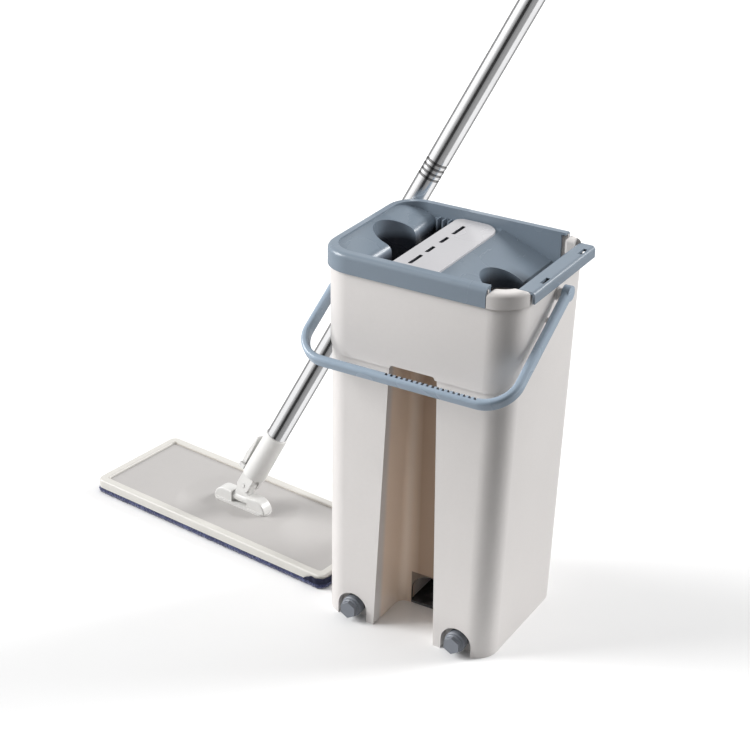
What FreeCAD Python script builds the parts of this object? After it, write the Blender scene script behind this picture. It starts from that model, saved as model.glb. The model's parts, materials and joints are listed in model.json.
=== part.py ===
import FreeCAD, Part
import math
import os

import Sketcher

# Flat mop and bucket with a squeeze-slot lid. Millimetres, +Z up, the floor at zero.
# Four frames are used: the bucket's (X to its right, Y to its back, zero on the floor under the lid's
# centre), the mop head's (X along its long side, zero on the floor under its joint), the yoke's (zero on
# the roll axis) and the pole's (Z along the pole, zero on the tilt pin).

DIMENSIONS = {
    # where the bucket's frame lies in the part's frame
    "bucket_x": 76.9, "bucket_y": -63.9,
    # chambers: outline at the floor and at the rim
    "wall": 2.4, "rim_height": 377.5,
    "base_side": 90.0, "base_front": -83.0, "base_back": 68.0, "base_corner": 22.5,
    "rim_side": 96.4, "rim_front": -75.5, "rim_back": 78.0,
    # upper bin, proud of the chambers
    "bin_low": 279.0, "bin_side_low": 97.3, "bin_side": 98.9, "bin_front_low": -79.4, "bin_front": -78.3,
    "bin_floor": 283.0, "bin_corner": 27.0, "bin_back": 78.2, "bin_turn_y": 1.0,
    "bin_turn_z": 343.0, "bin_end_y": 9.0,
    "bin_step": 4.0, "arch_side": 23.0, "arch_top": 282.0,
    # solid corners that close the rim beside the lid's open right end
    "cap_high": 376.8, "cap_thick_in": 11.0, "cap_round": 4.5, "cap_end_front": -57.0, "cap_end_back": 69.0,
    "cap_gap": 0.7,
    # groove between the chambers, with its web and the pocket behind
    "groove_low": 33.0, "groove_high": 24.5, "groove_back": -29.5, "groove_corner": 9.0,
    "pocket_side": 21.5, "pocket_top": 272.0, "web_hole_half": 20.5, "web_hole_high": 35.0,
    "floor_thick": 3.0, "mat_low": 0.3, "mat_high": 3.3, "mat_gap": 0.1,
    # drain fittings at the foot of each chamber
    "drain_x": 57.0, "drain_z": 13.0, "niche_radius": 16.0, "niche_back": -73.0, "niche_wall": 2.4,
    "gland_flange": 10.0, "gland_radius": 8.0, "gland_bore": 6.05, "gland_thick": 2.0,
    "gland_end": -66.0, "seal_thick": 2.0, "seal_bore": 6.3, "seal_radius": 9.5,
    "plug_shank": 6.0, "plug_end": -64.5, "plug_flange": 10.5, "plug_step": 9.2, "plug_face": -92.0,
    "plug_shoulder": -85.0, "plug_hex": 7.6, "plug_chamfer": 0.8,
    # lid
    "lid_side": 102.3, "lid_front": -81.2, "lid_back": 81.2, "lid_corner": 32.0, "lid_top": 380.0,
    "skirt_low": 361.5, "skirt": 2.2, "lid_end_front": 70.6, "lid_end_back": 74.6, "fence_end": 70.2,
    "tray_front": -71.0, "tray_back": 71.5, "tray_side": 93.6, "lid_wall": 2.4, "tray_low": 340.0,
    "tray_inner_corner": 24.0, "rim_round": 4.5,
    "shelf_high": 378.6, "shelf_low": 367.0, "slot_left": -60.0, "slot_right": -36.0, "slot_low": 330.0,
    "slot_front": -60.0, "slot_back": 69.5, "deck": 370.0, "slope_start": 10.0, "slope_end": 62.0,
    "slope_low": 350.0, "scoop_left_x": -66.5, "scoop_left_y": 8.0, "scoop_left_radius": 23.5,
    "scoop_right_x": 52.0, "scoop_right_y": -8.0, "scoop_right_radius": 22.0, "scoop_skin": 0.3,
    "shoulder": 9.0, "rib_depth": 7.0, "rib_thick": 1.6, "rib_first": 4.0, "rib_pitch": 6.0,
    # scraper plate, its screws and the wiper under its edge
    "plate_left": -36.0, "plate_right": 10.5, "plate_front": -66.0, "plate_back": 70.0,
    "plate_thick": 2.5, "plate_corner_right": 19.0, "plate_corner_left": 8.0, "plate_edge": 0.7,
    "slit_x": -21.0, "slit_half": 1.9, "slit_one": -40.2, "slit_two": -13.0, "slit_three": 13.4,
    "slit_four": 41.8, "slit_long": 11.5, "slit_short": 7.7,
    "screw_x": -8.0, "screw_y": 46.0, "screw_radius": 1.5, "screw_head": 3.2, "screw_head_high": 2.0,
    "wiper_thick": 5.0, "wiper_low": 352.0, "wiper_high": 362.0, "wiper_half": 58.0,
    "wiper_tab": 9.0, "wiper_tab_high": 369.4,
    # bar on the right wall
    "bar_left": 85.0, "bar_right": 103.3, "bar_front": -51.0, "bar_back": 75.0, "bar_top": 372.5,
    "bar_thick": 2.6, "bar_edge": 4.0, "bar_inner_low": 352.0, "bar_leg_back": 60.0, "wall_cut": 368.5,
    "bar_slit_x": 98.5, "bar_slit_one": -22.0, "bar_slit_two": 56.5, "bar_slit_long": 7.0,
    # carry handle
    "pivot_y": 6.0, "pivot_z": 350.0, "arm_inner": 104.2, "arm_thick": 7.0, "arm_length": 127.0,
    "bail_bend": 33.0, "bail_deep": 12.5, "bail_round": 3.0, "eye_radius": 7.2, "arm_past": 3.0, "peg_radius": 4.0,
    "peg_gap": 0.06, "boss_radius": 6.4, "boss_end": 99.6, "peg_collar": 5.2, "collar_end": 103.7,
    "eye_deep": 5.0, "peg_end_gap": 0.3,
    "rest_angle": 31.0, "lug_along": 24.0, "lug_down": 9.2, "lug_radius": 2.6, "lug_end": 109.0,
    "notch_first": -11.0, "notch_pitch": 5.2, "notch_count": 18, "notch_wide": 2.3, "notch_deep": 3.4,
    "notch_low": 0.6,
    # mop head, turned a little and standing clear of the bucket
    "head_x": -251.0, "head_y": 20.5, "head_turn": -7.0,
    "head_left": -163.5, "head_right": 153.8, "head_half": 62.0, "head_corner": 8.5, "opening_corner": 4.0,
    "pad_thick": 6.5, "pad_inset": 1.0, "rim_wide": 9.5, "head_rim_top": 16.0, "panel_low": 7.5,
    "panel_top": 13.5, "strip_wide": 26.0, "strip_y": 30.0, "strip_inset": 14.0,
    # bracket, yoke and their pins
    "roll_z": 22.0, "base_half": 36.0, "base_thick": 2.4, "base_deep": 9.0, "wing_gap": 10.6,
    "wing_deep": 7.0, "wing_top": 28.6, "roll_pin_radius": 2.5, "roll_pin_half": 27.0,
    "pin_gap": 0.05, "hub_radius": 5.4, "hub_half": 10.2, "neck_half": 4.6, "neck_wide": 7.6,
    "tilt_up": 17.0, "roll_rest": 13.8, "tilt_rest": 23.3, "bracket_x": -5.0, "neck_low": 4.6,
    "neck_left": -13.0,
    "neck_shoulder": 8.0, "tilt_pin_radius": 2.5, "tilt_pin_half": 10.6,
    "bracket_screw_x": 25.0, "bracket_screw_radius": 1.4, "bracket_screw_head": 2.6,
    "bracket_screw_sink": 1.6, "bracket_screw_up": 6.0,
    # socket, its screw and the lock lever
    "ear_radius": 8.0, "ear_inner": 5.0, "ear_outer": 10.0, "barrel_low": 12.0, "barrel_radius": 12.8,
    "socket_top": 69.0, "socket_neck": 12.2, "socket_bore_low": 24.0, "bore_gap": 0.05,
    "socket_screw_t": 60.0, "socket_screw_radius": 1.6, "socket_screw_head": 3.2,
    "lever_x": -15.7, "lever_low": 16.0, "lever_high": 54.0, "lever_bulge": 3.2, "lever_half": 5.5,
    "lever_knuckle": 2.4, "lever_pin": 1.0, "lug_half": 8.6,
    # pole
    "tube_radius": 11.0, "tube_wall": 0.7, "section_low": 24.5, "joint_one": 398.0,
    "section_long": 315.0, "tube_end": 1186.0, "ring_first": 5.0, "ring_pitch": 5.5, "ring_deep": 0.45,
    "ring_wide": 2.6, "coupler_radius": 10.25, "coupler_half": 28.0, "coupler_bore": 5.0,
    "grip_low": 1042.0, "grip_high": 1186.0, "grip_radius": 14.5, "grip_neck": 13.0,
    "cap_top": 1214.0, "cap_thick": 4.5, "eye_hole": 6.0,
}

doc = FreeCAD.newDocument("flat_mop_and_bucket")
sheet = doc.addObject("Spreadsheet::Sheet", "dims")
for row, (alias, number) in enumerate(DIMENSIONS.items(), start=1):
    sheet.set("A%d" % row, alias)
    sheet.set("B%d" % row, str(number))
    sheet.setAlias("B%d" % row, alias)
doc.recompute()


def amount(text):
    """The value of a sum such as "rim_side - wall"."""
    total = 0.0
    sign = 1.0
    for word in text.split():
        if word in "+-":
            sign = 1.0 if word == "+" else -1.0
        else:
            total += sign * (DIMENSIONS[word] if word in DIMENSIONS else float(word))
    return total


def formula(text):
    """The same sum as an expression on the sheet's cells."""
    return " ".join("dims." + word if word in DIMENSIONS else word for word in text.split())


def bind(thing, prop, text):
    thing.setExpression(prop, formula(text))


def minus(text):
    """The sum with every sign turned over."""
    words = text.split()
    if words[0] not in "+-":
        words.insert(0, "+")
    return " ".join({"+": "-", "-": "+"}.get(word, word) for word in words)


def fresh(kind, label):
    thing = doc.addObject(kind, label)
    thing.Label = label
    return thing


# ---- document-level solids and booleans ----

def place(thing, x, y, z):
    bind(thing, "Placement.Base.x", x)
    bind(thing, "Placement.Base.y", y)
    bind(thing, "Placement.Base.z", z)


def box(label, left, right, front, back, low, high):
    thing = fresh("Part::Box", label)
    bind(thing, "Length", right + " " + signed(left))
    bind(thing, "Width", back + " " + signed(front))
    bind(thing, "Height", high + " " + signed(low))
    place(thing, left, front, low)
    return thing


def signed(text):
    """Text to append to a sum so that this sum is taken away."""
    turned = minus(text)
    return turned if turned[0] in "+-" else "+ " + turned


TURNS = {
    "X": FreeCAD.Rotation(FreeCAD.Vector(0, 1, 0), 90),
    "Y": FreeCAD.Rotation(FreeCAD.Vector(1, 0, 0), -90),
    "Z": FreeCAD.Rotation(),
}


def rod(label, along, radius, start, end, first, second):
    """A cylinder along X, Y or Z from start to end; first and second are its other two places."""
    thing = fresh("Part::Cylinder", label)
    bind(thing, "Radius", radius)
    bind(thing, "Height", end + " " + signed(start))
    thing.Placement = FreeCAD.Placement(FreeCAD.Vector(), TURNS[along])
    spots = {"X": (start, first, second), "Y": (first, start, second), "Z": (first, second, start)}
    place(thing, *spots[along])
    return thing


def fuse(label, *things):
    thing = fresh("Part::MultiFuse", label)
    thing.Shapes = list(things)
    return thing


def cut(label, base, *tools):
    thing = fresh("Part::Cut", label)
    thing.Base = base
    thing.Tool = tools[0] if len(tools) == 1 else fuse(label + "_tools", *tools)
    return thing


def common(label, first, second):
    thing = fresh("Part::Common", label)
    thing.Base = first
    thing.Tool = second
    return thing


def rounded(label, base, radius, wanted):
    """Rounds the edges of base that wanted() picks."""
    doc.recompute()
    picked = [i for i, edge in enumerate(base.Shape.Edges, start=1) if wanted(edge)]
    if not picked:
        raise RuntimeError("no edge to round in " + label)
    thing = fresh("Part::Fillet", label)
    thing.Base = base
    thing.Edges = [(i, amount(radius), amount(radius)) for i in picked]
    return thing


def mirrored(label, thing):
    copy = fresh("Part::Mirroring", label)
    copy.Source = thing
    copy.Normal = FreeCAD.Vector(1, 0, 0)
    return copy


# ---- sketches ----

def host_plane(host, role):
    return next(plane for plane in host.Origin.OriginFeatures if plane.Role == role)


def new_sketch(host, label, role, offset):
    """A sketch on a plane of a body, or free in the document on XY, offset along its normal."""
    if host is None:
        sketch = fresh("Sketcher::SketchObject", label)
        if role == "XZ_Plane":
            turn = FreeCAD.Rotation(FreeCAD.Vector(1, 0, 0), 90)
            sketch.Placement = FreeCAD.Placement(FreeCAD.Vector(), turn)
            bind(sketch, "Placement.Base.y", offset)
        elif role == "YZ_Plane":
            turn = FreeCAD.Rotation(FreeCAD.Vector(1, 1, 1), 120)
            sketch.Placement = FreeCAD.Placement(FreeCAD.Vector(), turn)
            bind(sketch, "Placement.Base.x", offset)
        else:
            bind(sketch, "Placement.Base.z", offset)
        return sketch
    sketch = host.newObject("Sketcher::SketchObject", label)
    sketch.AttachmentSupport = (host_plane(host, role), [""])
    sketch.MapMode = "FlatFace"
    bind(sketch, "AttachmentOffset.Base.z", offset)
    return sketch


def pin_point(sketch, geometry, point, name, x, y):
    for kind, text in (("X", x), ("Y", y)):
        number = sketch.addConstraint(Sketcher.Constraint("Distance" + kind, geometry, point, amount(text)))
        sketch.renameConstraint(number, name + kind.lower())
        bind(sketch, "Constraints." + name + kind.lower(), text)


def polygon(host, label, role, offset, corners):
    """A closed outline with every corner held by two bound distances."""
    sketch = new_sketch(host, label, role, offset)
    points = [FreeCAD.Vector(amount(x), amount(y), 0) for x, y in corners]
    for here, there in zip(points, points[1:] + points[:1]):
        sketch.addGeometry(Part.LineSegment(here, there), False)
    for index in range(len(points)):
        following = (index + 1) % len(points)
        sketch.addConstraint(Sketcher.Constraint("Coincident", index, 2, following, 1))
        pin_point(sketch, index, 1, "corner%d" % index, *corners[index])
    return sketch


def rectangle(host, label, role, offset, left, right, front, back, radius):
    """A rectangle with rounded corners."""
    sketch = new_sketch(host, label, role, offset)
    x0, x1, y0, y1, r = (amount(text) for text in (left, right, front, back, radius))

    def corner(x, y, start):
        arc = Part.Circle(FreeCAD.Vector(x, y, 0), FreeCAD.Vector(0, 0, 1), r)
        return Part.ArcOfCircle(arc, math.radians(start), math.radians(start + 90))

    def line(xa, ya, xb, yb):
        return Part.LineSegment(FreeCAD.Vector(xa, ya, 0), FreeCAD.Vector(xb, yb, 0))

    for piece in (line(x0 + r, y0, x1 - r, y0), corner(x1 - r, y0 + r, 270),
                  line(x1, y0 + r, x1, y1 - r), corner(x1 - r, y1 - r, 0),
                  line(x1 - r, y1, x0 + r, y1), corner(x0 + r, y1 - r, 90),
                  line(x0, y1 - r, x0, y0 + r), corner(x0 + r, y0 + r, 180)):
        sketch.addGeometry(piece, False)
    for index in range(8):
        sketch.addConstraint(Sketcher.Constraint("Tangent", index, 2, (index + 1) % 8, 1))
    for index, kind in ((0, "Horizontal"), (2, "Vertical"), (4, "Horizontal"), (6, "Vertical")):
        sketch.addConstraint(Sketcher.Constraint(kind, index))
    for index in (3, 5, 7):
        sketch.addConstraint(Sketcher.Constraint("Equal", 1, index))
    for name, kind, index, text in (("front", "DistanceY", 0, front), ("right", "DistanceX", 2, right),
                                    ("back", "DistanceY", 4, back), ("left", "DistanceX", 6, left)):
        number = sketch.addConstraint(Sketcher.Constraint(kind, index, 1, amount(text)))
        sketch.renameConstraint(number, name)
        bind(sketch, "Constraints." + name, text)
    number = sketch.addConstraint(Sketcher.Constraint("Radius", 1, r))
    sketch.renameConstraint(number, "radius")
    bind(sketch, "Constraints.radius", radius)
    return sketch


def circle(host, label, role, offset, x, y, radius):
    sketch = new_sketch(host, label, role, offset)
    centre = FreeCAD.Vector(amount(x), amount(y), 0)
    sketch.addGeometry(Part.Circle(centre, FreeCAD.Vector(0, 0, 1), amount(radius)), False)
    pin_point(sketch, 0, 3, "centre", x, y)
    number = sketch.addConstraint(Sketcher.Constraint("Radius", 0, amount(radius)))
    sketch.renameConstraint(number, "radius")
    bind(sketch, "Constraints.radius", radius)
    return sketch


def loft(label, *sketches):
    thing = fresh("Part::Loft", label)
    thing.Sections = list(sketches)
    thing.Solid = True
    thing.Ruled = True
    return thing


def extrusion(label, sketch, direction, length):
    thing = fresh("Part::Extrusion", label)
    thing.Base = sketch
    thing.DirMode = "Custom"
    thing.Dir = direction
    thing.Solid = True
    bind(thing, "LengthFwd", length)
    return thing


# ---- bodies made of features ----

def new_body(label):
    return fresh("PartDesign::Body", label)


def pad(body, sketch, length):
    feature = body.newObject("PartDesign::Pad", body.Label + "_pad")
    feature.Profile = sketch
    bind(feature, "Length", length)
    return feature


def pocket(body, sketch, length, backwards=False):
    doc.recompute()
    before = body.Shape.Volume
    feature = body.newObject("PartDesign::Pocket", body.Label + "_pocket")
    feature.Profile = sketch
    feature.Reversed = backwards
    bind(feature, "Length", length)
    doc.recompute()
    if body.Shape.Volume > before - 1e-3:
        raise RuntimeError("a pocket cut nothing in " + body.Label)
    return feature


def turned(label, corners):
    """A body of revolution about its Z axis; corners are (radius, height) sums."""
    body = new_body(label)
    sketch = polygon(body, label + "_profile", "XZ_Plane", "0", corners)
    feature = body.newObject("PartDesign::Revolution", label + "_turn")
    feature.Profile = sketch
    feature.ReferenceAxis = (host_axis(body, "Z_Axis"), [""])
    feature.Angle = 360.0
    return body


def pin(label, along, radius, half, frame, x="0", y="0", z="0"):
    """A plain round pin, centred on a point of its frame."""
    body = turned(label, [("0", minus(half)), (radius, minus(half)), (radius, half), ("0", half)])
    spot = FreeCAD.Placement(FreeCAD.Vector(amount(x), amount(y), amount(z)), TURNS[along])
    finish(body, label, frame * spot)


def host_axis(body, role):
    return next(axis for axis in body.Origin.OriginFeatures if axis.Role == role)


def soften(body, radius, wanted):
    """Rounds the edges of the body's tip that wanted() picks."""
    doc.recompute()
    tip = body.Tip
    names = ["Edge%d" % i for i, edge in enumerate(tip.Shape.Edges, start=1) if wanted(edge)]
    if not names:
        raise RuntimeError("no edge to round in " + body.Label)
    feature = body.newObject("PartDesign::Fillet", body.Label + "_round")
    feature.Base = (tip, names)
    bind(feature, "Radius", radius)
    return feature


# ---- frames ----

def move(x, y, z, axis=(0, 0, 1), angle=0.0):
    return FreeCAD.Placement(FreeCAD.Vector(x, y, z), FreeCAD.Rotation(FreeCAD.Vector(*axis), angle))


size = DIMENSIONS
BUCKET = move(size["bucket_x"], size["bucket_y"], 0)
HEAD = BUCKET * move(size["head_x"], size["head_y"], 0, (0, 0, 1), size["head_turn"])
BRACKET = HEAD * move(size["bracket_x"], 0, 0)
YOKE = HEAD * move(0, 0, size["roll_z"], (1, 0, 0), -size["roll_rest"])
POLE = YOKE * move(0, 0, size["tilt_up"], (0, 1, 0), size["tilt_rest"])
BAIL = BUCKET * move(0, size["pivot_y"], size["pivot_z"], (1, 0, 0), size["rest_angle"])
parts = []


def finish(thing, label, frame):
    """Names a finished sub-part and puts it in its frame."""
    thing.Label = label
    thing.Placement = frame * thing.Placement
    parts.append(thing)


def span(edge):
    return edge.BoundBox


def upright(edge):
    return span(edge).ZLength > 1.0 and span(edge).XLength < 0.01 and span(edge).YLength < 0.01


def at_height(z):
    return lambda edge: abs(span(edge).ZMin - z) < 0.01 and abs(span(edge).ZMax - z) < 0.01


# ---- bucket body ----

LID_OUTLINE = ("- lid_side", "lid_side", "lid_front", "lid_back", "lid_corner")


def chamber_loft(label, inset, low, left, corner):
    """The chambers' outline drawn in by inset, kept above low and to the right of left."""
    base = rectangle(None, label + "_base", "XY_Plane", "0", "- base_side + " + inset,
                     "base_side - " + inset, "base_front + " + inset, "base_back - " + inset, corner)
    rim = rectangle(None, label + "_rim", "XY_Plane", "rim_height", "- rim_side + " + inset,
                    "rim_side - " + inset, "rim_front + " + inset, "rim_back - " + inset, corner)
    whole = loft(label + "_loft", base, rim)
    if low == "0":
        return whole
    keep = box(label + "_keep", left, "200", "-200", "200", low, "rim_height + 10")
    return common(label, whole, keep)


def bin_loft(label, inset, low, high):
    lower = rectangle(None, label + "_low", "XY_Plane", low, "- bin_side_low + " + inset,
                      "bin_side_low - " + inset, "bin_front_low + " + inset,
                      "bin_back - " + inset, "bin_corner - " + inset)
    upper = rectangle(None, label + "_high", "XY_Plane", high, "- bin_side + " + inset,
                      "bin_side - " + inset, "bin_front + " + inset, "bin_back - " + inset,
                      "bin_corner - " + inset)
    return loft(label, lower, upper)


def bin_range(label, thick, top):
    """The bin seen from the side: its lower edge climbs to the handle's pivot, then to the skirt."""
    outline = polygon(None, label + "_outline", "YZ_Plane", "-150", [
        ("-120", "bin_low + " + thick), ("bin_front_low", "bin_low + " + thick),
        ("bin_turn_y - 1", "bin_turn_z + " + thick), ("bin_end_y - 1", "skirt_low + " + thick),
        ("120", "skirt_low + " + thick), ("120", top), ("-120", top)])
    return extrusion(label, outline, FreeCAD.Vector(1, 0, 0), "300")


def rim_cap(label, left, front, back, end):
    """A solid corner of the rim, crowned like the lid, with its two ends rounded off."""
    outline = rectangle(None, label + "_outline", "XY_Plane", "skirt_low", *LID_OUTLINE)
    block = extrusion(label + "_block", outline, FreeCAD.Vector(0, 0, 1), "cap_high - skirt_low")
    crowned = rounded(label + "_crown", block, "rim_round", at_height(size["cap_high"]))
    keep = box(label + "_keep", left, "lid_side + 5", front, back, "skirt_low", "cap_high")

    def exposed(edge):
        beside_lid = span(edge).XMax < amount(left) + 0.01
        beside_bar = span(edge).YLength < 0.01 and abs(span(edge).YMin - amount(end)) < 0.01
        return at_height(size["cap_high"])(edge) and (beside_lid or beside_bar)

    ends = rounded(label + "_ends", keep, "cap_round", exposed)
    inset = "cap_thick_in"
    inner = rectangle(None, label + "_inner", "XY_Plane", "skirt_low - 1", "- lid_side + " + inset,
                      "lid_side - " + inset, "lid_front + " + inset, "lid_back - " + inset,
                      "lid_corner - " + inset)
    room = extrusion(label + "_room", inner, FreeCAD.Vector(0, 0, 1), "cap_high - skirt_low + 2")
    return cut(label, common(label + "_solid", crowned, ends), room)


def build_bucket():
    chambers = chamber_loft("chambers", "0", "0", None, "base_corner")
    proud = common("bin", bin_loft("bin_solid", "0", "bin_low", "rim_height"),
                   bin_range("bin_outside", "0", "rim_height"))
    bosses = [rod("boss_right", "X", "boss_radius", "rim_side - 8", "boss_end", "pivot_y", "pivot_z")]
    arm = (-math.cos(math.radians(size["rest_angle"])), -math.sin(math.radians(size["rest_angle"])))
    stop = fresh("Part::Cylinder", "stop_lug")
    bind(stop, "Radius", "lug_radius")
    bind(stop, "Height", "lug_end - rim_side + 8")
    stop.Placement = FreeCAD.Placement(FreeCAD.Vector(
        size["rim_side"] - 8,
        size["pivot_y"] + size["lug_along"] * arm[0] - size["lug_down"] * arm[1],
        size["pivot_z"] + size["lug_along"] * arm[1] + size["lug_down"] * arm[0]), TURNS["X"])
    bosses.append(stop)
    right_side = fuse("pivot_right", *bosses)
    left_side = mirrored("pivot_left", right_side)
    outer = fuse("bucket_outer", chambers, proud, right_side, left_side)

    groove = groove_loft("groove", "0", "bin_low")
    arch_block = box("arch_block", "- arch_side", "arch_side", "-100", "-60", "bin_low - 1", "arch_top")
    arch_round = rounded("arch_round", arch_block, "arch_top - bin_low - 0.5", lambda edge:
                         span(edge).YLength > 30 and span(edge).ZMin > size["arch_top"] - 0.01)
    behind = box("pocket_space", "- pocket_side", "pocket_side", "groove_back + wall", "base_back - wall",
                 "-1", "pocket_top")
    hole_block = box("web_hole", "- web_hole_half", "web_hole_half", "groove_back - 10",
                     "groove_back + wall + 1", "-1", "web_hole_high")
    hole = rounded("web_hole_round", hole_block, "web_hole_half - 0.5", lambda edge:
                   span(edge).YLength > 5 and span(edge).ZMin > size["web_hole_high"] - 0.01)

    inner = "pocket_side + wall"
    right_room = chamber_loft("room_right", "wall", "floor_thick", inner, "base_corner - wall")
    room_right = cut("room_right_clear", right_room, groove_loft("groove_wall", "wall", "bin_floor"))
    room_left = mirrored("room_left", room_right)
    bin_room = common("bin_room", bin_loft("bin_room_solid", "wall", "bin_low", "rim_height + 2"),
                      bin_range("bin_inside", "bin_step", "rim_height + 2"))
    back_room = chamber_loft("room_back", "wall", "bin_floor", "-200", "base_corner - wall")
    wall_gap = box("wall_gap", "bar_left - 0.4", "120", "cap_end_front", "bar_back + 0.6", "wall_cut", "390")
    seats = [box("cap_seat_front", "lid_end_front + cap_gap", "120", "-120", "cap_end_front",
                 "skirt_low + 1", "390"),
             box("cap_seat_back", "lid_end_back + cap_gap", "120", "cap_end_back", "120",
                 "skirt_low + 1", "390")]
    niches = []
    shells = []
    for name, start, end in (("right", "rim_side - 10", "boss_end + 1"),
                             ("left", "- boss_end - 1", "10 - rim_side")):
        niches.append(rod("peg_hole_" + name, "X", "peg_radius", start, end, "pivot_y", "pivot_z"))
    for side, name in ((1, "right"), (-1, "left")):
        x = "drain_x" if side == 1 else "- drain_x"
        niches.append(niche("niche_" + name, x, "niche_radius", "niche_back"))
        shells.append(niche("niche_shell_" + name, x, "niche_radius + niche_wall",
                            "niche_back + niche_wall"))
        niches.append(rod("gland_hole_" + name, "Y", "gland_radius", "niche_back - 1",
                          "niche_back + niche_wall + 1", x, "drain_z"))
    hollow = cut("bucket_hollow", outer, groove, arch_round, behind, hole, room_left, room_right,
                 bin_room, back_room, wall_gap, *seats)
    cap_front = rim_cap("cap_front", "lid_end_front + cap_gap", "-120", "cap_end_front", "cap_end_front")
    cap_back = rim_cap("cap_back", "lid_end_back + cap_gap", "cap_end_back", "120", "cap_end_back")
    bar_room = box("cap_bar_room", "bar_left - 0.6", "120", "60", "bar_back + 0.6", "skirt_low - 1", "390")
    fences = []
    for number, shell in enumerate(shells):
        within = chamber_loft("chambers_%d" % number, "0", "0", None, "base_corner")
        fences.append(common("fence_%d" % number, shell, within))
    fenced = fuse("bucket_fenced", hollow, cap_front, cut("cap_back_cut", cap_back, bar_room), *fences)
    body = cut("bucket_body", fenced, *niches, groove_loft("groove_again", "0", "bin_low"))
    finish(body, "bucket_body", BUCKET)

    mat = box("mat_main", "- pocket_side + mat_gap", "pocket_side - mat_gap",
              "groove_back + wall + mat_gap", "base_back - wall - mat_gap", "mat_low", "mat_high")
    tongue = box("mat_tongue", "- web_hole_half + mat_gap", "web_hole_half - mat_gap", "groove_back",
                 "groove_back + wall + 1", "mat_low", "mat_high")
    finish(fuse("foot_mat", mat, tongue), "foot_mat", BUCKET)


def groove_loft(label, extra, high):
    """The groove between the chambers, grown by extra all round, from the floor up to high."""
    sections = []
    for name, height, half in (("_base", "-1", "groove_low"), ("_head", high, "groove_high")):
        sections.append(rectangle(None, label + name, "XY_Plane", height, "- %s - %s" % (half, extra),
                                  "%s + %s" % (half, extra), "-130", "groove_back + " + extra,
                                  "groove_corner + " + extra))
    return loft(label, *sections)


def niche(label, x, radius, back):
    """A round-topped space open to the front and to the floor."""
    head = rod(label + "_head", "Y", radius, "-100", back, x, "drain_z - 2")
    foot = box(label + "_foot", x + " - " + radius.replace("+", "-"), x + " + " + radius, "-100", back,
               "-1", "drain_z - 2")
    return fuse(label, head, foot)


# ---- lid ----

SLITS = (("slit_one", "slit_long"), ("slit_two", "slit_short"), ("slit_three", "slit_short"),
         ("slit_four", "slit_long"))


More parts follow.
